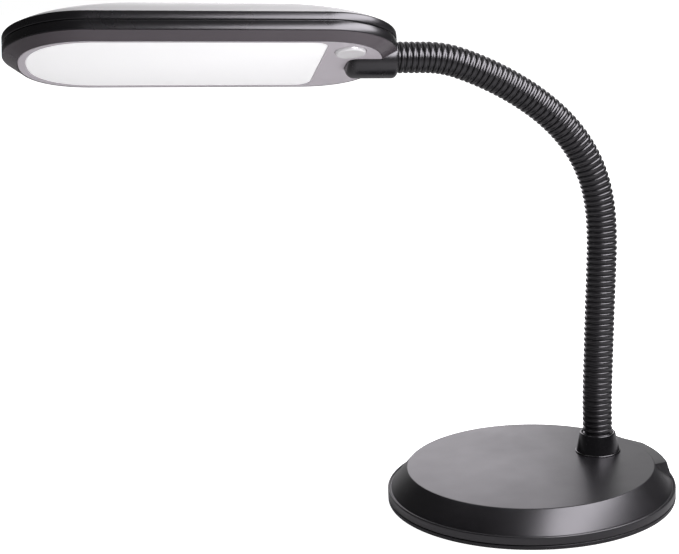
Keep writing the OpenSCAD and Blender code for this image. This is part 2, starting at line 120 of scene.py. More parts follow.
# Studio light
# A dark studio with a white backdrop behind the lamp. The key is a large softbox high in front on the
# right, a weak one hangs overhead, and one behind the lamp shows in the gloss of the base.
world = bpy.data.worlds.new("studio")
bpy.context.scene.world = world
world.use_nodes = True
world_nodes = world.node_tree.nodes
world_links = world.node_tree.links
backdrop = world_nodes["Background"]
backdrop.inputs["Color"].default_value = (1, 1, 1, 1)
backdrop_way = (0.32, 0.89, 0.33)
fill_level = 0.3
outlook = world_nodes.new("ShaderNodeTexCoord")
facing = world_nodes.new("ShaderNodeVectorMath")
facing.operation = "DOT_PRODUCT"
facing.inputs[1].default_value = backdrop_way
falloff = world_nodes.new("ShaderNodeMapRange")
falloff.interpolation_type = "SMOOTHSTEP"
falloff.inputs["From Min"].default_value = 0.8
falloff.inputs["From Max"].default_value = 0.95
falloff.inputs["To Min"].default_value = 0.04
falloff.inputs["To Max"].default_value = 0.74
eye = world_nodes.new("ShaderNodeLightPath")
mirrored = world_nodes.new("ShaderNodeMath")
mirrored.operation = "ADD"
mirrored.use_clamp = True
gloss_level = world_nodes.new("ShaderNodeMix")
gloss_level.inputs["A"].default_value = fill_level
seen_level = world_nodes.new("ShaderNodeMix")
seen_level.inputs["B"].default_value = 1.0
world_links.new(outlook.outputs["Generated"], facing.inputs[0])
world_links.new(facing.outputs["Value"], falloff.inputs["Value"])
world_links.new(eye.outputs["Is Glossy Ray"], mirrored.inputs[0])
world_links.new(eye.outputs["Is Transmission Ray"], mirrored.inputs[1])
world_links.new(mirrored.outputs["Value"], gloss_level.inputs["Factor"])
world_links.new(falloff.outputs["Result"], gloss_level.inputs["B"])
world_links.new(eye.outputs["Is Camera Ray"], seen_level.inputs["Factor"])
world_links.new(gloss_level.outputs["Result"], seen_level.inputs["A"])
world_links.new(seen_level.outputs["Result"], backdrop.inputs["Strength"])


def softbox(name, place, aim, width, height, power, roll=0.0, colour=(1, 1, 1)):
    """A rectangular lamp at place that faces aim, rolled in its own plane by degrees."""
    data = bpy.data.lights.new(name, "AREA")
    data.shape = "RECTANGLE"
    data.size = width
    data.size_y = height
    data.energy = power
    data.color = colour
    lamp = bpy.data.objects.new(name, data)
    lamp.location = place
    toward = (Vector(aim) - Vector(place)).to_track_quat("-Z", "Y").to_matrix()
    lamp.rotation_euler = (toward @ Matrix.Rotation(math.radians(roll), 3, "Z")).to_euler()
    lamp.visible_camera = False
    bpy.context.scene.collection.objects.link(lamp)


softbox("key", (0.238, -0.395, 0.578), (0, 0, 0.15), 1.03, 0.36, 9, roll=12.5, colour=(0.99, 0.97, 1))
softbox("overhead", (0.0, 0.2, 1.3), (-0.05, 0, 0.2), 0.9, 0.9, 1.5)
softbox("behind", (0.38, 1.55, 0.6), (0, 0, 0.1), 0.92, 0.8, 3.4, colour=(0.98, 0.93, 1))


# Foot pad
# A thin disc of dark foam rubber, die-cut and glued under the base plate so that the lamp doesn't slide.
def foam_rubber():
    """A dark foam with fine cells."""
    material = bpy.data.materials.new("foam_rubber")
    material.use_nodes = True
    nodes = material.node_tree.nodes
    links = material.node_tree.links
    shader = nodes["Principled BSDF"]
    where = nodes.new("ShaderNodeTexCoord")
    cells = nodes.new("ShaderNodeTexVoronoi")
    cells.inputs["Scale"].default_value = 1400
    tone = nodes.new("ShaderNodeValToRGB")
    tone.color_ramp.elements[0].color = (0.018, 0.018, 0.019, 1)
    tone.color_ramp.elements[1].color = (0.045, 0.045, 0.047, 1)
    bump = nodes.new("ShaderNodeBump")
    bump.inputs["Strength"].default_value = 0.4
    bump.inputs["Distance"].default_value = 0.0003
    shader.inputs["Roughness"].default_value = 0.85
    links.new(where.outputs["Object"], cells.inputs["Vector"])
    links.new(cells.outputs["Distance"], tone.inputs["Fac"])
    links.new(tone.outputs["Color"], shader.inputs["Base Color"])
    links.new(cells.outputs["Distance"], bump.inputs["Height"])
    links.new(bump.outputs["Normal"], shader.inputs["Normal"])
    return material


def revolve(mesh, profile, steps, centre=(0, 0, 0)):
    """Turns a profile of (radius, height) points once round the centre's upright axis."""
    points = [mesh.verts.new((centre[0] + radius, centre[1], height)) for radius, height in profile]
    lines = [mesh.edges.new(pair) for pair in zip(points, points[1:])]
    bmesh.ops.spin(
        mesh, geom=points + lines, cent=centre, axis=(0, 0, 1), angle=math.tau, steps=steps, use_merge=True
    )
    bmesh.ops.remove_doubles(mesh, verts=mesh.verts, dist=1e-6)
    bmesh.ops.recalc_face_normals(mesh, faces=mesh.faces)


def curve(centre, radius, start, end, steps):
    """Points of an arc in a profile, from angle start to angle end in degrees."""
    angles = [math.radians(start + (end - start) * k / steps) for k in range(steps + 1)]
    return [(centre[0] + radius * math.cos(a), centre[1] + radius * math.sin(a)) for a in angles]


def piece(mesh, name, material, sharp=32):
    """Makes a finished mesh a smooth object at the origin, with creases kept where faces meet sharply."""
    data = bpy.data.meshes.new(name)
    mesh.to_mesh(data)
    mesh.free()
    data.polygons.foreach_set("use_smooth", [True] * len(data.polygons))
    data.set_sharp_from_angle(angle=math.radians(sharp))
    data.materials.append(material)
    made = bpy.data.objects.new(name, data)
    bpy.context.scene.collection.objects.link(made)
    return made


pad_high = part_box("foot_pad")[1]
pad_r = pad_high.x
pad_edge = 0.0003
pad_sides = 160
foot_mesh = bmesh.new()
revolve(
    foot_mesh,
    [(0, 0)]
    + curve((pad_r - pad_edge, pad_edge), pad_edge, -90, 0, 4)
    + [(pad_r, pad_high.z), (0, pad_high.z)],
    pad_sides,
)
foot = piece(foot_mesh, "foot_foam", foam_rubber())
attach(foot, "base")
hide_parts("foot_pad")


# Base plate
# A pressed and lacquered steel plate that closes the base. Only its edge shows, under a
# narrow seam below the cover's rim.
def surface_grain():
    """A node group for moulded and lacquered surfaces: fine grain, broad mottling and sparse specks."""
    group = bpy.data.node_groups.new("surface_grain", "ShaderNodeTree")
    sockets = group.interface
    sockets.new_socket("Dark", in_out="INPUT", socket_type="NodeSocketColor")
    sockets.new_socket("Light", in_out="INPUT", socket_type="NodeSocketColor")
    sockets.new_socket("Grain Scale", in_out="INPUT", socket_type="NodeSocketFloat")
    sockets.new_socket("Smooth", in_out="INPUT", socket_type="NodeSocketFloat")
    sockets.new_socket("Rough", in_out="INPUT", socket_type="NodeSocketFloat")
    sockets.new_socket("Color", in_out="OUTPUT", socket_type="NodeSocketColor")
    sockets.new_socket("Roughness", in_out="OUTPUT", socket_type="NodeSocketFloat")
    sockets.new_socket("Height", in_out="OUTPUT", socket_type="NodeSocketFloat")
    nodes = group.nodes
    links = group.links
    given = nodes.new("NodeGroupInput")
    result = nodes.new("NodeGroupOutput")
    where = nodes.new("ShaderNodeTexCoord")
    grain = nodes.new("ShaderNodeTexNoise")
    grain.inputs["Detail"].default_value = 3
    mottle = nodes.new("ShaderNodeTexNoise")
    mottle.inputs["Scale"].default_value = 26
    mottle.inputs["Detail"].default_value = 5
    mottle.inputs["Roughness"].default_value = 0.6
    specks = nodes.new("ShaderNodeTexVoronoi")
    specks.inputs["Scale"].default_value = 310
    speck_mask = nodes.new("ShaderNodeMapRange")
    speck_mask.inputs["From Min"].default_value = 0.045
    speck_mask.inputs["From Max"].default_value = 0.02
    speck_mask.inputs["To Max"].default_value = 0.5
    tone = nodes.new("ShaderNodeMath")
    tone.operation = "MULTIPLY_ADD"
    tone.inputs[1].default_value = 0.75
    tone.use_clamp = True
    colour = nodes.new("ShaderNodeMix")
    colour.data_type = "RGBA"
    rough = nodes.new("ShaderNodeMapRange")
    rough.inputs["From Min"].default_value = 0.3
    rough.inputs["From Max"].default_value = 0.7
    for texture in (grain, mottle, specks):
        links.new(where.outputs["Object"], texture.inputs["Vector"])
    links.new(given.outputs["Grain Scale"], grain.inputs["Scale"])
    links.new(specks.outputs["Distance"], speck_mask.inputs["Value"])
    links.new(mottle.outputs["Fac"], tone.inputs[0])
    links.new(speck_mask.outputs["Result"], tone.inputs[2])
    links.new(tone.outputs["Value"], colour.inputs["Factor"])
    links.new(given.outputs["Dark"], colour.inputs["A"])
    links.new(given.outputs["Light"], colour.inputs["B"])
    links.new(mottle.outputs["Fac"], rough.inputs["Value"])
    links.new(given.outputs["Smooth"], rough.inputs["To Min"])
    links.new(given.outputs["Rough"], rough.inputs["To Max"])
    links.new(colour.outputs["Result"], result.inputs["Color"])
    links.new(rough.outputs["Result"], result.inputs["Roughness"])
    links.new(grain.outputs["Fac"], result.inputs["Height"])
    return group


grain_group = surface_grain()


def grained(name, dark, light, smooth, rough, grain_scale, depth, metallic=0.0, gloss=0.5, tint=(1, 1, 1)):
    """A material of one tone with moulded grain: depth is the grain's height in metres."""
    material = bpy.data.materials.new(name)
    material.use_nodes = True
    nodes = material.node_tree.nodes
    links = material.node_tree.links
    shader = nodes["Principled BSDF"]
    shader.inputs["Metallic"].default_value = metallic
    shader.inputs["Specular IOR Level"].default_value = gloss
    shader.inputs["Specular Tint"].default_value = (*tint, 1)
    surface = nodes.new("ShaderNodeGroup")
    surface.node_tree = grain_group
    surface.inputs["Dark"].default_value = (*dark, 1)
    surface.inputs["Light"].default_value = (*light, 1)
    surface.inputs["Grain Scale"].default_value = grain_scale
    surface.inputs["Smooth"].default_value = smooth
    surface.inputs["Rough"].default_value = rough
    bump = nodes.new("ShaderNodeBump")
    bump.inputs["Strength"].default_value = 0.6
    bump.inputs["Distance"].default_value = depth
    links.new(surface.outputs["Color"], shader.inputs["Base Color"])
    links.new(surface.outputs["Roughness"], shader.inputs["Roughness"])
    links.new(surface.outputs["Height"], bump.inputs["Height"])
    links.new(bump.outputs["Normal"], shader.inputs["Normal"])
    return material


black_sheen = (0.975, 0.955, 1.0)
black_lacquer = grained(
    "black_lacquer", (0.005, 0.0047, 0.0056), (0.008, 0.0076, 0.0088), 0.3, 0.38, 1500, 0.00002,
    tint=black_sheen,
)
plate_low, plate_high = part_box("base_plate")
base_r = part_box("base_cover")[1].y
base_sides = 192
plate_edge = 0.0004
seam_h = 0.0005
seam_in = 0.0015
plate_mesh = bmesh.new()
revolve(
    plate_mesh,
    [(0, plate_low.z)]
    + curve((base_r - plate_edge, plate_low.z + plate_edge), plate_edge, -90, 0, 4)
    + curve((base_r - plate_edge, plate_high.z - seam_h - plate_edge), plate_edge, 0, 90, 4)
    + [(base_r - seam_in, plate_high.z - seam_h), (base_r - seam_in, plate_high.z), (0, plate_high.z)],
    base_sides,
)
plate = piece(plate_mesh, "closing_plate", black_lacquer)
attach(plate, "base")
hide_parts("base_plate")


# Base screws, weight, and the neck's stud, washer and nut
# Zinc-plated fixings and a cast iron disc, all shut inside the base.
def dress(material, *nodes):
    """Gives CAD nodes a material."""
    for node in nodes:
        data = frame["nodes"][node].data
        data.materials.clear()
        data.materials.append(material)


zinc = grained("zinc", (0.36, 0.36, 0.35), (0.55, 0.55, 0.54), 0.28, 0.45, 2200, 0.00001, metallic=1.0)
cast_iron = grained(
    "cast_iron", (0.05, 0.048, 0.046), (0.11, 0.105, 0.1), 0.6, 0.8, 700, 0.0002, metallic=0.8
)
dress(zinc, "base_screws", "neck_stud", "neck_washer", "neck_nut")
dress(cast_iron, "base_weight")


# Base cover
# One moulding in satin black plastic: a flat disc, a sloped band, a stepped rim, and at the rear a tab
# that houses the power jack. It is screwed down through the plate.
satin_black = grained(
    "satin_black", (0.004, 0.0037, 0.0046), (0.007, 0.0066, 0.0078), 0.3, 0.37, 1700, 0.000012,
    gloss=0.85, tint=black_sheen,
)
cover_low, cover_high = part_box("base_cover")
base_h = cover_high.z
cover_wall = 0.0025
disc_r = 0.082
disc_round = 0.0012
rim_h = 0.009
rim_w = 0.0027
rim_round = 0.001
band_r = base_r - rim_w
valley_depth = 0.0006
valley_h = rim_h - valley_depth
foot_edge = 0.0003
band_slope = math.degrees(math.atan2(base_h - rim_h, band_r - disc_r))
cavity_z = base_h - cover_wall

# The rounded valley between band and rim, as steps outwards from the band and up from its floor.
valley = [(0.0002, 0.0006), (0.0005, 0.0001), (0.0009, 0)]
cover_mesh = bmesh.new()
revolve(
    cover_mesh,
    [(0, base_h)]
    + curve((disc_r - disc_round, base_h - disc_round), disc_round, 90, 90 - band_slope, 8)
    + [(band_r + outwards, valley_h + up) for outwards, up in valley]
    + curve((base_r - rim_round, rim_h - rim_round), rim_round, 80, 0, 6)
    + curve((base_r - foot_edge, cover_low.z + foot_edge), foot_edge, 0, -90, 3)
    + [(base_r - cover_wall, cover_low.z), (base_r - cover_wall, rim_h - cover_wall)]
    + [(disc_r - cover_wall - disc_round, cavity_z), (0, cavity_z)],
    base_sides,
)
cover = piece(cover_mesh, "base_moulding", satin_black)

# The tab is turned as a part of a ring, trimmed by two slanted sides, and its edges are rounded.
tab_turn = math.radians(-9)
tab_half = math.radians(12)
tab_flare = math.radians(8)
tab_r = 0.091
tab_root_r = disc_r - 0.006
tab_top = base_h - 0.0003
tab_drop = 0.003
tab_foot = rim_h - 0.002
tab_lean = 0.0032
tab_draft = math.radians(18)
tab_round = 0.0006
tab_mesh = bmesh.new()
tab_profile = [
    (tab_root_r, tab_foot),
    (tab_root_r, cavity_z - cover_wall),
    (disc_r - disc_round, tab_top),
    (tab_r, base_h - tab_drop),
    (tab_r + tab_lean, tab_foot),
]
tab_points = [tab_mesh.verts.new((radius, 0, height)) for radius, height in tab_profile]
tab_face = tab_mesh.faces.new(tab_points)
tab_reach = 4 * (tab_half + tab_flare)
bmesh.ops.rotate(
    tab_mesh, cent=(0, 0, 0), matrix=Matrix.Rotation(tab_turn - tab_reach / 2, 3, "Z"), verts=tab_points
)
bmesh.ops.spin(tab_mesh, geom=[tab_face], cent=(0, 0, 0), axis=(0, 0, 1), angle=tab_reach, steps=48)
bmesh.ops.recalc_face_normals(tab_mesh, faces=tab_mesh.faces)
for side in (-1, 1):
    outer = Vector((tab_r, 0, 0))
    outer.rotate(Matrix.Rotation(tab_turn + side * tab_half, 3, "Z"))
    inner = Vector((disc_r, 0, 0))
    inner.rotate(Matrix.Rotation(tab_turn + side * (tab_half + tab_flare), 3, "Z"))
    outward = (outer - inner).cross(Vector((0, 0, 1))).normalized() * -side
    outward.z = math.tan(tab_draft)
    outer.z = base_h
    bmesh.ops.bisect_plane(
        tab_mesh, geom=tab_mesh.verts[:] + tab_mesh.edges[:] + tab_mesh.faces[:],
        plane_co=outer, plane_no=outward, clear_outer=True,
    )
    bmesh.ops.holes_fill(tab_mesh, edges=[e for e in tab_mesh.edges if e.is_boundary], sides=0)
bmesh.ops.recalc_face_normals(tab_mesh, faces=tab_mesh.faces)
tab_edges = [e for e in tab_mesh.edges if len(e.link_faces) == 2 and e.calc_face_angle() > math.radians(30)]
bmesh.ops.bevel(
    tab_mesh, geom=tab_edges, offset=tab_round, offset_type="OFFSET", affect="EDGES",
    segments=3, profile=0.5, material=-1, clamp_overlap=True,
)
tab = piece(tab_mesh, "rear_tab", satin_black)

# The jack's hole goes through the tab and the sloped band behind it.
jack_low, jack_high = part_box("power_jack")
jack_z = (jack_low.z + jack_high.z) / 2
jack_hole_r = 0.0043
jack_hole_l = 0.03
jack_hole_middle = disc_r + 0.003
hole_mesh = bmesh.new()
bmesh.ops.create_cone(
    hole_mesh, cap_ends=True, segments=48, radius1=jack_hole_r, radius2=jack_hole_r, depth=jack_hole_l
)
lay_down = Matrix.Rotation(math.radians(90), 4, "Y")
put_out = Matrix.Translation((jack_hole_middle, 0, jack_z))
turn_to_tab = Matrix.Rotation(tab_turn, 4, "Z")
bmesh.ops.transform(hole_mesh, matrix=turn_to_tab @ put_out @ lay_down, verts=hole_mesh.verts)
hole = piece(hole_mesh, "jack_hole", satin_black)


def carve(body, operation, tool):
    """Applies a solid operation to a piece with a tool, which is then taken away."""
    step = body.modifiers.new(operation, "BOOLEAN")
    step.operation = operation
    step.solver = "EXACT"
    step.object = tool
    evaluated = body.evaluated_get(bpy.context.evaluated_depsgraph_get())
    carved = bpy.data.meshes.new_from_object(evaluated)
    body.modifiers.clear()
    body.data = carved
    bpy.data.objects.remove(tool)


carve(cover, "UNION", tab)
carve(cover, "DIFFERENCE", hole)
cover.data.set_sharp_from_angle(angle=math.radians(32))
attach(cover, "base")
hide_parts("base_cover")


# Power jack
# A moulded barrel socket pressed into the tab, with a plated pin in its bore.
jack_black = grained("jack_black", (0.008, 0.008, 0.008), (0.015, 0.015, 0.015), 0.4, 0.5, 2400, 0.00001)
dress(jack_black, "power_jack")


# Neck collar
# A short cone of the same black plastic that hides the neck's stud, with a soft lip at its mouth and a
# thin flange at its foot.
collar_black = grained(
    "collar_black", (0.0028, 0.0026, 0.0032), (0.005, 0.0047, 0.0055), 0.15, 0.2, 1700, 0.000006,
    gloss=0.9, tint=black_sheen,
)
collar_low, collar_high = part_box("neck_collar")
collar_centre = ((collar_low.x + collar_high.x) / 2, 0, 0)
collar_foot_r = (collar_high.x - collar_low.x) / 2
collar_top_r = 0.012
collar_bore_r = 0.0102
collar_sides = 96
stud_hole_r = 0.0053
lip_round = 0.0007
flange_h = 0.001
flange_w = 0.0007
flange_round = 0.0008
cone_foot_r = collar_foot_r - flange_w
collar_floor_t = 0.0027
collar_floor = collar_low.z + collar_floor_t
collar_mesh = bmesh.new()
revolve(
    collar_mesh,
    [(stud_hole_r, collar_low.z), (collar_foot_r, collar_low.z)]
    + curve((collar_foot_r - flange_round, collar_low.z + flange_h - flange_round), flange_round, 0, 90, 4)
    + [(cone_foot_r, collar_low.z + flange_h)]
    + curve((collar_top_r - lip_round, collar_high.z - lip_round), lip_round, 10, 90, 5)
    + curve((collar_bore_r + lip_round, collar_high.z - lip_round), lip_round, 90, 180, 5)
    + [(collar_bore_r, collar_floor), (stud_hole_r, collar_floor), (stud_hole_r, collar_low.z)],
    collar_sides,
    centre=collar_centre,
)
collar = piece(collar_mesh, "neck_cone", collar_black)
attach(collar, "base")
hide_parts("neck_collar")


# Neck core
# Sixteen steel links, each turning on the ball of the one below it. They hold the lamp's pose by friction.
link_count = 16
core_steel = grained(
    "core_steel", (0.3, 0.3, 0.3), (0.46, 0.46, 0.45), 0.35, 0.5, 1800, 0.00002, metallic=1.0
)
dress(core_steel, *[f"neck_core_{i}" for i in range(1, link_count + 1)])


# Neck sleeve
# A black corrugated plastic hose over the core, with broad rounded ribs and narrow grooves between them.
# It is cut at groove floors halfway along each link, so that every length of it spans one joint.
sleeve_black = grained(
    "sleeve_black", (0.0032, 0.003, 0.0036), (0.0055, 0.0052, 0.006), 0.27, 0.33, 2000, 0.000008,
    gloss=1.0, tint=black_sheen,
)
ribs_per_link = 6
rib_pitch = 0.00365
link_l = ribs_per_link * rib_pitch
rib_r = 0.0099
groove_r = 0.0086
rib_h = rib_r - groove_r
hose_bore_r = 0.0075

# Half a rib from the groove's middle to the crown, as shares of the pitch and of the rib's height.
rib_shape = [(0, 0), (0.11, 0.03), (0.145, 0.3), (0.165, 0.58), (0.2, 0.74), (0.26, 0.86), (0.34, 0.945)]
rib_shape += [(0.42, 0.986), (0.5, 1)]
rib_shape += [(1 - place, height) for place, height in reversed(rib_shape[1:-1])]
hose_sides = 56

neck_foot = Vector((collar_centre[0], 0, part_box("neck_sleeve_1")[0].z))
hinges = [j for j in frame["joints"] if j["type"] == "hinge"]
hinges.sort(key=lambda j: int(j["child"].split("_")[1]) if j["child"] != "head" else link_count)
link_starts = [neck_foot] + [Vector(j["pos_m"]) for j in hinges]

# Each link is an arc that leaves the last one straight on, so its chord gives its turn.
directions = [Vector((0, 0, 1))]
for start, end in zip(link_starts, link_starts[1:]):
    chord = (end - start).normalized()
    directions.append(2 * directions[-1].dot(chord) * chord - directions[-1])
near_side = Vector(hinges[0]["axis"]).normalized()


def along_neck(distance):
    """The neck's frame at a distance from its foot: Z along the neck, Y to the near side."""
    link = min(int(distance / link_l + 1e-9), link_count - 1)
    share = distance / link_l - link
    direction = directions[link]
    turn = 0.0
    if link + 1 < link_count:
        turn = math.asin(max(-1, min(1, direction.cross(directions[link + 1]).dot(near_side))))
    place = link_starts[link] + direction * (share * link_l)
    if abs(turn) > 1e-5:
        radius = link_l / turn
        inward = near_side.cross(direction)
        place = link_starts[link] + direction * (radius * math.sin(turn * share))
        place += inward * (radius * (1 - math.cos(turn * share)))
        direction = Matrix.Rotation(turn * share, 3, near_side) @ direction
    frame_x = near_side.cross(direction).normalized()
    turned = Matrix((frame_x, near_side, direction)).transposed().to_4x4()
    return Matrix.Translation(place) @ turned


def hose(name, first_rib, last_rib):
    """A length of hose from one groove to another: out along the ribs and back along the bore."""
    rings = []
    for rib in range(first_rib, last_rib):
        rings += [((rib + place) * rib_pitch, groove_r + rib_h * height) for place, height in rib_shape]
    rings.append((last_rib * rib_pitch, groove_r))
    rings += [(rib * rib_pitch, hose_bore_r) for rib in range(last_rib, first_rib - 1, -1)]
    rings.append(rings[0])
    mesh = bmesh.new()
    places = [along_neck(distance) @ Matrix.Diagonal((radius, radius, 1, 1)) for distance, radius in rings]
    bmesh.ops.create_circle(mesh, cap_ends=False, segments=hose_sides, radius=1, matrix=places[0])
    loop = mesh.edges[:]
    for last, place in zip(places, places[1:]):
        grown = bmesh.ops.extrude_edge_only(mesh, edges=loop)["geom"]
        loop = [e for e in grown if isinstance(e, bmesh.types.BMEdge)]
        points = [v for v in grown if isinstance(v, bmesh.types.BMVert)]
        bmesh.ops.transform(mesh, matrix=place @ last.inverted(), verts=points)
    bmesh.ops.remove_doubles(mesh, verts=mesh.verts, dist=1e-6)
    bmesh.ops.recalc_face_normals(mesh, faces=mesh.faces)
    made = piece(mesh, name, sleeve_black, sharp=60)
    return made


half_link = ribs_per_link // 2
hose_foot = hose("hose_foot", 0, half_link)
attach(hose_foot, "base")
for link in range(link_count - 1):
    first = link * ribs_per_link + half_link
    length = hose(f"hose_{link + 1}", first, first + ribs_per_link)
    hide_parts(f"neck_sleeve_{link + 1}")
    bend_start = along_neck(first * rib_pitch).translation
    bend_end = along_neck((first + ribs_per_link) * rib_pitch).translation
    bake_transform(length)
hose_end = hose("hose_end", (link_count - 1) * ribs_per_link + half_link, link_count * ribs_per_link)
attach(hose_end, "head")
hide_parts(f"neck_sleeve_{link_count}")


# Neck ferrule, clamp and the head's inner fixings
# A steel ferrule on the neck's end, held in the socket by a strap with two screws. The head's own
# screws hold its two shells together.
dress(zinc, "neck_ferrule", "neck_clamp", "clamp_screws", "head_screws")


# Lower shell
# The lower band of the head, moulded in black plastic in one with the neck's socket. Its edges are
# softly rounded.
band_black = grained(
    "band_black", (0.0032, 0.003, 0.0036), (0.0055, 0.0052, 0.006), 0.26, 0.29, 1900, 0.000008,
    gloss=1.0, tint=black_sheen,
)
neck_insert = 0.0028
head_tip = directions[-1]
button_slide = next(j for j in frame["joints"] if j["type"] == "slide")
head_up = Vector(button_slide["axis"]).normalized()
head_near = head_up.cross(head_tip)
head_origin = link_starts[-1] + head_tip * (link_l - neck_insert)
head_frame = Matrix.Translation(head_origin) @ Matrix((head_tip, head_near, head_up)).transposed().to_4x4()

head_l = 0.239
head_hw = 0.05
lens_z = -0.005
bezel_h = 0.0055
lower_h = 0.0058
band_gap = 0.0006
upper_h = 0.0053
lower_z = lens_z + bezel_h
lower_top = lower_z + lower_h
upper_z = lower_top + band_gap
upper_top = upper_z + upper_h
shell_wall = 0.0025
seam_depth = 0.0012
edge_round = 0.0005
edge_middle = 0.00015
outline_sides = 160


def long_ring(mesh, inset_end, inset_side, height, shift=0.0):
    """The head's long outline as one ring of edges, drawn in at its ends and sides, shifted to the tip."""
    half = head_hw - inset_side
    ring = bmesh.ops.create_circle(mesh, cap_ends=False, segments=outline_sides, radius=half)["verts"]
    half_step = Matrix.Rotation(math.pi / outline_sides, 3, "Z")
    bmesh.ops.rotate(mesh, cent=(0, 0, 0), matrix=half_step, verts=ring)
    straight = head_l - 2 * inset_end - 2 * half
    bmesh.ops.translate(mesh, vec=(straight, 0, 0), verts=[v for v in ring if v.co.x > 0])
    bmesh.ops.translate(mesh, vec=(inset_end + half + shift, 0, height), verts=ring)
    return list({e for v in ring for e in v.link_edges})


def fuller(reach, fullness):
    """Pushes a round end outwards: reach is a share of its radius, and a fullness of 2 leaves it round."""
    return math.copysign(abs(reach) ** (2 / fullness), reach)


def fill_out(ring, level):
    """Makes both ends of one ring of the head's outline fuller."""
    inset_end, inset_side, _, shift, fullness = level
    half = head_hw - inset_side
    near_centre = inset_end + half + shift
    tip_centre = near_centre + head_l - 2 * inset_end - 2 * half
    for point in {v for e in ring for v in e.verts}:
        centre = min(max(point.co.x, near_centre), tip_centre)
        point.co.x = centre + half * fuller((point.co.x - centre) / half, fullness)
        point.co.y = half * fuller(point.co.y / half, fullness)


def loft(mesh, levels, closed=True):
    """Skins the head's outline through levels of (end inset, side inset, height, shift, fullness)."""
    rings = [long_ring(mesh, *level[:4]) for level in levels]
    pairs = list(zip(rings, rings[1:]))
    if closed:
        pairs.append((rings[-1], rings[0]))
    else:
        bmesh.ops.contextual_create(mesh, geom=rings[0])
        bmesh.ops.contextual_create(mesh, geom=rings[-1])
    for ring, following in pairs:
        bmesh.ops.bridge_loops(mesh, edges=ring + following)
    for ring, level in zip(rings, levels):
        if len(level) > 4:
            fill_out(ring, level)
    bmesh.ops.recalc_face_normals(mesh, faces=mesh.faces)


def band_levels(profile):
    """Levels of the same inset at the ends and the sides."""
    return [(inset, inset, height) for inset, height in profile]


lower_mesh = bmesh.new()
loft(
    lower_mesh,
    band_levels(
        [(shell_wall, lower_z), (edge_round, lower_z)]
        + [(edge_middle, lower_z + edge_middle), (0, lower_z + edge_round), (0, lower_top - edge_round)]
        + [(edge_middle, lower_top - edge_middle), (edge_round, lower_top)]
        + [(seam_depth, lower_top), (seam_depth, upper_z), (shell_wall, upper_z)]
    ),
)
bmesh.ops.transform(lower_mesh, matrix=head_frame, verts=lower_mesh.verts)
lower = piece(lower_mesh, "lower_band", band_black, sharp=50)
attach(lower, "head")
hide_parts("lower_shell")

socket_r = 0.013
socket_l = 0.032
socket_round = 0.003
nose_round = 0.0055
socket_bore_r = 0.0102
socket_sides = 96
bore_ease = 0.0004


def socket_form(mesh, grow):
    """The socket's blunt-nosed outer form along the head, up to the lower band's top, grown by a little."""
    revolve(
        mesh,
        [(0, neck_insert), (socket_bore_r, neck_insert)]
        + [(socket_bore_r, bore_ease), (socket_bore_r + bore_ease, 0)]
        + curve((socket_r - socket_round, socket_round), socket_round + grow, -90, 0, 6)
        + curve((socket_r - nose_round, socket_l - nose_round), nose_round + grow, 0, 90, 12)
        + [(0, socket_l + grow)],
        socket_sides,
    )
    lay_along = Matrix.Rotation(math.radians(90), 3, "Y")
    bmesh.ops.rotate(mesh, cent=(0, 0, 0), matrix=lay_along, verts=mesh.verts)
    bmesh.ops.bisect_plane(
        mesh, geom=mesh.verts[:] + mesh.edges[:] + mesh.faces[:],
        plane_co=(0, 0, lower_top), plane_no=(0, 0, 1), clear_outer=True,
    )
    bmesh.ops.holes_fill(mesh, edges=[e for e in mesh.edges if e.is_boundary], sides=0)
    bmesh.ops.recalc_face_normals(mesh, faces=mesh.faces)


socket_mesh = bmesh.new()
socket_form(socket_mesh, 0)
bmesh.ops.transform(socket_mesh, matrix=head_frame, verts=socket_mesh.verts)
socket = piece(socket_mesh, "neck_socket", band_black)
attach(socket, "head")


# Bezel
# A sloped ring moulded in dark grey plastic, between the lower band and the lens frame. Its inner
# edge is fuller at the ends than the head's outline.
bezel_grey = grained("bezel_grey", (0.064, 0.055, 0.062), (0.078, 0.068, 0.076), 0.2, 0.27, 1700, 0.00001)
bezel_end = 0.00925
bezel_shift = 0.00075
bezel_side = 0.004
bezel_fullness = 2.3
frame_lip = 0.0005
bezel_edge = 0.0003
bezel_mesh = bmesh.new()
loft(
    bezel_mesh,
    [
        (bezel_end + frame_lip, bezel_side + frame_lip, lower_z, bezel_shift, bezel_fullness),
        (bezel_edge, bezel_edge, lower_z),
        (0, 0, lower_z - bezel_edge),
        (bezel_end - bezel_edge, bezel_side - bezel_edge, lens_z + bezel_edge, bezel_shift, bezel_fullness),
        (bezel_end, bezel_side, lens_z, bezel_shift, bezel_fullness),
        (bezel_end + frame_lip, bezel_side + frame_lip, lens_z, bezel_shift, bezel_fullness),
    ],
)
bmesh.ops.transform(bezel_mesh, matrix=head_frame, verts=bezel_mesh.verts)
bezel = piece(bezel_mesh, "bezel_ring", bezel_grey)
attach(bezel, "head")
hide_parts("bezel")


# Lens frame
# A pale grey moulded panel, snapped into the bezel, that holds the lens. It has the button's hole, two
# posts behind it for the switch board, a cut-out for the socket, and eased edges.
panel_grey = grained("panel_grey", (0.53, 0.495, 0.53), (0.57, 0.535, 0.57), 0.36, 0.44, 1500, 0.000012)
panel_t = 0.0018
panel_gap = 0.00015
panel_ease = 0.0003
panel_end = bezel_end + frame_lip + panel_gap
panel_side = bezel_side + frame_lip + panel_gap
panel_mesh = bmesh.new()
loft(
    panel_mesh,
    [
        (panel_end + panel_ease, panel_side + panel_ease, lens_z, bezel_shift, bezel_fullness),
        (panel_end, panel_side, lens_z + panel_ease, bezel_shift, bezel_fullness),
        (panel_end, panel_side, lens_z + panel_t, bezel_shift, bezel_fullness),
    ],
    closed=False,
)
panel = piece(panel_mesh, "lens_panel", panel_grey)

lens_start = 0.0487
lens_end = head_l - 0.0135
lens_hw = 0.043
lens_corner = 0.009
tip_x = lens_end - lens_hw


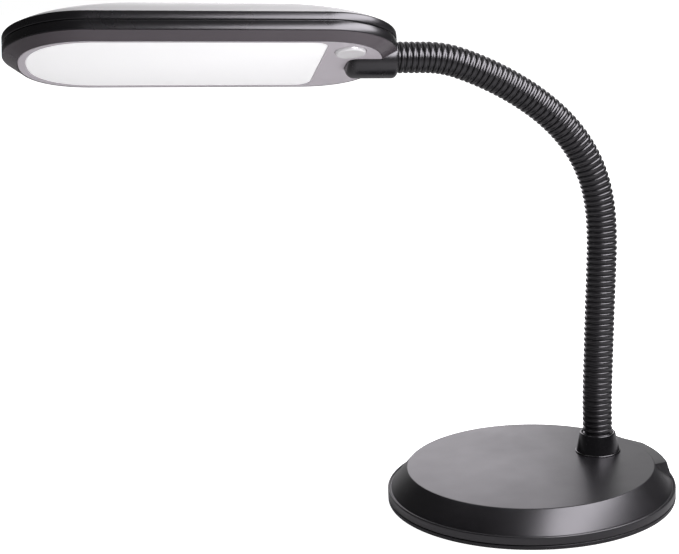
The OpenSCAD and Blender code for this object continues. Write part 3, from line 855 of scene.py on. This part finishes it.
def lens_ring(mesh, grow, height):
    """The lens's outline as one ring of edges: round at the tip, cut straight at the neck's end."""
    first_edge = len(mesh.edges)
    half = lens_hw + grow
    corner = lens_corner + grow
    corner_x = lens_start + lens_corner
    corner_y = lens_hw - lens_corner
    arcs = (
        ((tip_x, -half), (tip_x, 0), math.pi, 64),
        ((corner_x, half), (corner_x, corner_y), math.pi / 2, 12),
        ((corner_x - corner, -corner_y), (corner_x, -corner_y), math.pi / 2, 12),
    )
    ends = []
    first_point = len(mesh.verts)
    for start, centre, angle, steps in arcs:
        first = mesh.verts.new((*start, height))
        turned = bmesh.ops.spin(
            mesh, geom=[first], cent=(*centre, height), axis=(0, 0, 1), angle=angle, steps=steps
        )["geom_last"]
        ends.append((first, [v for v in turned if isinstance(v, bmesh.types.BMVert)][0]))
    for (first, last), (following, _) in zip(ends, ends[1:] + ends[:1]):
        mesh.edges.new((last, following))
    mesh.verts.ensure_lookup_table()
    for point in mesh.verts[first_point:]:
        if point.co.x > tip_x:
            point.co.x = tip_x + half * fuller((point.co.x - tip_x) / half, bezel_fullness)
            point.co.y = half * fuller(point.co.y / half, bezel_fullness)
    mesh.edges.ensure_lookup_table()
    return mesh.edges[first_edge:]


def lens_solid(mesh, levels):
    """A solid of the lens's outline through levels of (growth, height)."""
    rings = [lens_ring(mesh, *level) for level in levels]
    for ring, following in zip(rings, rings[1:]):
        bmesh.ops.bridge_loops(mesh, edges=ring + following)
    bmesh.ops.contextual_create(mesh, geom=rings[0])
    bmesh.ops.contextual_create(mesh, geom=rings[-1])
    bmesh.ops.recalc_face_normals(mesh, faces=mesh.faces)


# The posts are joined to the panel, and then the openings are cut, wider at their mouths.
button_r = 0.0093
button_centre = (0.0337, 0.0265)
button_flange = 0.001
button_gap = 0.0003
button_sides = 96
post_r = 0.0015
post_top = 0.001
post_root = 0.001
post_h = post_top - lens_z - post_root
post_reach = button_r + button_flange + button_gap + post_r
post_turn = math.radians(55)
for side in (-1, 1):
    post_mesh = bmesh.new()
    bmesh.ops.create_cone(
        post_mesh, cap_ends=True, segments=32, radius1=post_r, radius2=post_r, depth=post_h
    )
    post_x = button_centre[0] + side * post_reach * math.cos(post_turn)
    post_y = button_centre[1] + side * post_reach * math.sin(post_turn)
    bmesh.ops.translate(post_mesh, vec=(post_x, post_y, post_top - post_h / 2), verts=post_mesh.verts)
    carve(panel, "UNION", piece(post_mesh, "switch_post", panel_grey))
cut_past = 0.001
cut_low = lens_z - cut_past
cut_high = lens_z + panel_t + cut_past
mouth_ease = 0.00015
mouth = mouth_ease + lens_z - cut_low
opening_mesh = bmesh.new()
lens_solid(opening_mesh, [(mouth, cut_low), (0, lens_z + mouth_ease), (0, cut_high)])
carve(panel, "DIFFERENCE", piece(opening_mesh, "lens_opening", panel_grey))
button_hole_r = button_r + button_gap
button_hole_mesh = bmesh.new()
revolve(
    button_hole_mesh,
    [(0, cut_low), (button_hole_r + mouth, cut_low), (button_hole_r, lens_z + mouth_ease)]
    + [(button_hole_r, cut_high), (0, cut_high)],
    button_sides,
)
bmesh.ops.translate(button_hole_mesh, vec=(*button_centre, 0), verts=button_hole_mesh.verts)
carve(panel, "DIFFERENCE", piece(button_hole_mesh, "button_hole", panel_grey))
socket_room = 0.0002
room_mesh = bmesh.new()
socket_form(room_mesh, socket_room)
carve(panel, "DIFFERENCE", piece(room_mesh, "socket_room", panel_grey))
panel.data.transform(head_frame)
panel.data.set_sharp_from_angle(angle=math.radians(32))
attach(panel, "head")
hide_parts("lens_frame")


# Diffuser
# The opal acrylic lens, set a little back in the panel, with an eased edge and a flange behind the panel.
# A faint painted glow stands in for the light it gets from below, and this painted light is a shade darker
# towards its edges.
def opal_acrylic():
    """A milky lens with a faint painted glow, standing in for the light it gets from below, worked out from
    the distance to its edge.
    """
    material = bpy.data.materials.new("opal_acrylic")
    material.use_nodes = True
    nodes = material.node_tree.nodes
    links = material.node_tree.links
    shader = nodes["Principled BSDF"]
    where = nodes.new("ShaderNodeTexCoord")
    haze = nodes.new("ShaderNodeTexNoise")
    haze.inputs["Scale"].default_value = 14
    tone = nodes.new("ShaderNodeValToRGB")
    tone.color_ramp.elements[0].color = (0.87, 0.87, 0.875, 1)
    tone.color_ramp.elements[1].color = (0.91, 0.91, 0.91, 1)
    on_head = nodes.new("ShaderNodeMapping")
    on_head.inputs["Location"].default_value = head_frame.inverted().to_translation()
    on_head.inputs["Rotation"].default_value = head_frame.inverted().to_euler()
    apart = nodes.new("ShaderNodeSeparateXYZ")
    past_tip = nodes.new("ShaderNodeMath")
    past_tip.operation = "SUBTRACT"
    past_tip.inputs[1].default_value = tip_x
    past_round = nodes.new("ShaderNodeMath")
    past_round.operation = "MAXIMUM"
    past_round.inputs[1].default_value = 0
    from_middle = nodes.new("ShaderNodeCombineXYZ")
    reach = nodes.new("ShaderNodeVectorMath")
    reach.operation = "LENGTH"
    to_side = nodes.new("ShaderNodeMath")
    to_side.operation = "SUBTRACT"
    to_side.inputs[0].default_value = lens_hw
    to_cut = nodes.new("ShaderNodeMath")
    to_cut.operation = "SUBTRACT"
    to_cut.inputs[1].default_value = lens_start
    to_edge = nodes.new("ShaderNodeMath")
    to_edge.operation = "MINIMUM"
    # Painted light: the lens's glow, full in the middle and a shade weaker near its edge.
    painted_glow = nodes.new("ShaderNodeMapRange")
    painted_glow.interpolation_type = "SMOOTHSTEP"
    painted_glow.inputs["From Max"].default_value = 0.03
    painted_glow.inputs["To Min"].default_value = 0.9
    grain = nodes.new("ShaderNodeTexNoise")
    grain.inputs["Scale"].default_value = 1800
    bump = nodes.new("ShaderNodeBump")
    bump.inputs["Strength"].default_value = 0.3
    bump.inputs["Distance"].default_value = 0.00001
    shader.inputs["Roughness"].default_value = 0.4
    # Strength of the painted glow, emission that stands in for the light the lens gets from below.
    shader.inputs["Emission Strength"].default_value = 0.28
    links.new(where.outputs["Object"], haze.inputs["Vector"])
    links.new(where.outputs["Object"], grain.inputs["Vector"])
    links.new(where.outputs["Object"], on_head.inputs["Vector"])
    links.new(on_head.outputs["Vector"], apart.inputs["Vector"])
    links.new(apart.outputs["X"], past_tip.inputs[0])
    links.new(apart.outputs["X"], to_cut.inputs[0])
    links.new(past_tip.outputs["Value"], past_round.inputs[0])
    links.new(past_round.outputs["Value"], from_middle.inputs["X"])
    links.new(apart.outputs["Y"], from_middle.inputs["Y"])
    links.new(from_middle.outputs["Vector"], reach.inputs[0])
    links.new(reach.outputs["Value"], to_side.inputs[1])
    links.new(to_side.outputs["Value"], to_edge.inputs[0])
    links.new(to_cut.outputs["Value"], to_edge.inputs[1])
    links.new(to_edge.outputs["Value"], painted_glow.inputs["Value"])
    links.new(haze.outputs["Fac"], tone.inputs["Fac"])
    links.new(tone.outputs["Color"], shader.inputs["Base Color"])
    links.new(painted_glow.outputs["Result"], shader.inputs["Emission Color"])
    links.new(grain.outputs["Fac"], bump.inputs["Height"])
    links.new(bump.outputs["Normal"], shader.inputs["Normal"])
    return material


lens_gap = 0.0004
lens_edge = 0.0005
lens_face = lens_z + 0.0002
lens_flange = 0.001
lens_flange_t = 0.0008
lens_back = lens_z + panel_t
lens_mesh = bmesh.new()
lens_solid(
    lens_mesh,
    [
        (-lens_gap - lens_edge, lens_face),
        (-lens_gap - 0.3 * lens_edge, lens_face + 0.3 * lens_edge),
        (-lens_gap, lens_face + lens_edge),
        (-lens_gap, lens_back),
        (lens_flange, lens_back),
        (lens_flange, lens_back + lens_flange_t),
    ],
)
bmesh.ops.transform(lens_mesh, matrix=head_frame, verts=lens_mesh.verts)
lens = piece(lens_mesh, "opal_lens", opal_acrylic())
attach(lens, "head")
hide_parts("diffuser")


# Light tray, boards and LEDs
# White reflector walls round the lens, the aluminium board with its LEDs, and two green circuit boards.
tray_white = grained("tray_white", (0.78, 0.78, 0.78), (0.84, 0.84, 0.84), 0.45, 0.55, 1200, 0.00001)
board_metal = grained(
    "board_metal", (0.6, 0.61, 0.62), (0.7, 0.71, 0.72), 0.35, 0.45, 900, 0.00001, metallic=0.6
)
led_yellow = grained("led_yellow", (0.72, 0.6, 0.2), (0.8, 0.7, 0.3), 0.3, 0.4, 900, 0.00001)
board_green = grained("board_green", (0.01, 0.075, 0.03), (0.02, 0.11, 0.05), 0.3, 0.42, 500, 0.00003)
dress(tray_white, "light_tray")
dress(board_metal, "led_board")
dress(led_yellow, "leds")
dress(board_green, "switch_board", "driver_board")


# Push button
# A round silver-lacquered cap that switches the lamp. It stands a little out of the panel, with a
# bevelled edge and a shallow dish, and a flange behind the panel keeps it in.
button_silver = grained(
    "button_silver", (0.82, 0.81, 0.82), (0.88, 0.87, 0.88), 0.22, 0.3, 1600, 0.000008, metallic=0.25
)
button_out = 0.0018
button_flange_gap = 0.00015
button_flange_t = 0.0008
button_face_z = lens_z - button_out
button_flange_z = lens_z + panel_t + button_flange_gap
button_back_z = button_flange_z + button_flange_t

# The dish's middle and slope, and then the bevel with eased ends, as steps in from the rim and back.
button_dish = [(button_r, 0.00025), (0.38 * button_r, 0.0001)]
button_bevel = [(0.0011, 0), (0.0009, 0.00004), (0.00012, 0.0008), (0, 0.0011)]
button_mesh = bmesh.new()
revolve(
    button_mesh,
    [(button_r - inwards, button_face_z + back) for inwards, back in button_dish + button_bevel]
    + [(button_r, button_flange_z), (button_r + button_flange, button_flange_z)]
    + [(button_r + button_flange, button_back_z), (0, button_back_z)],
    button_sides,
)
bmesh.ops.translate(button_mesh, vec=(*button_centre, 0), verts=button_mesh.verts)
bmesh.ops.transform(button_mesh, matrix=head_frame, verts=button_mesh.verts)
button = piece(button_mesh, "button_cap", button_silver)
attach(button, "button")
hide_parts("push_button")


# Upper shell
# The upper band of the head in the same black plastic, screwed down to the lower shell. The top cover
# sits on its rounded shoulder.
shoulder = 0.0012
upper_mesh = bmesh.new()
shoulder_arc = curve((shoulder, upper_top - shoulder), shoulder, 180, 90, 5)
loft(
    upper_mesh,
    band_levels(
        [(edge_round, upper_z), (edge_middle, upper_z + edge_middle), (0, upper_z + edge_round)]
        + shoulder_arc
    ),
    closed=False,
)
bmesh.ops.transform(upper_mesh, matrix=head_frame, verts=upper_mesh.verts)
upper = piece(upper_mesh, "upper_band", band_black, sharp=50)
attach(upper, "head")
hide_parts("upper_shell")


# Top cover
# A shallow dome in silver-grey plastic, snapped onto the upper shell.
silver_paint = grained("silver_paint", (0.43, 0.426, 0.43), (0.49, 0.486, 0.49), 0.34, 0.44, 2400, 0.000008)
dome_h = 0.0165
dome_inset = shoulder + 0.0003
dome_sweep = math.radians(88)
dome_flatness = 1.5
dome_steps = 28
dome_mesh = bmesh.new()
dome_levels = []
for step in range(dome_steps + 1):
    angle = dome_sweep * step / dome_steps
    drawn_in = 1 - math.cos(angle)
    end_inset = dome_inset + (head_l / 2 - dome_inset) * drawn_in
    side_inset = dome_inset + (head_hw - dome_inset) * drawn_in
    dome_levels.append((end_inset, side_inset, upper_top + dome_h * math.sin(angle) ** dome_flatness))
loft(dome_mesh, dome_levels, closed=False)
bmesh.ops.transform(dome_mesh, matrix=head_frame, verts=dome_mesh.verts)
dome = piece(dome_mesh, "silver_dome", silver_paint)
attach(dome, "head")
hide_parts("top_cover")
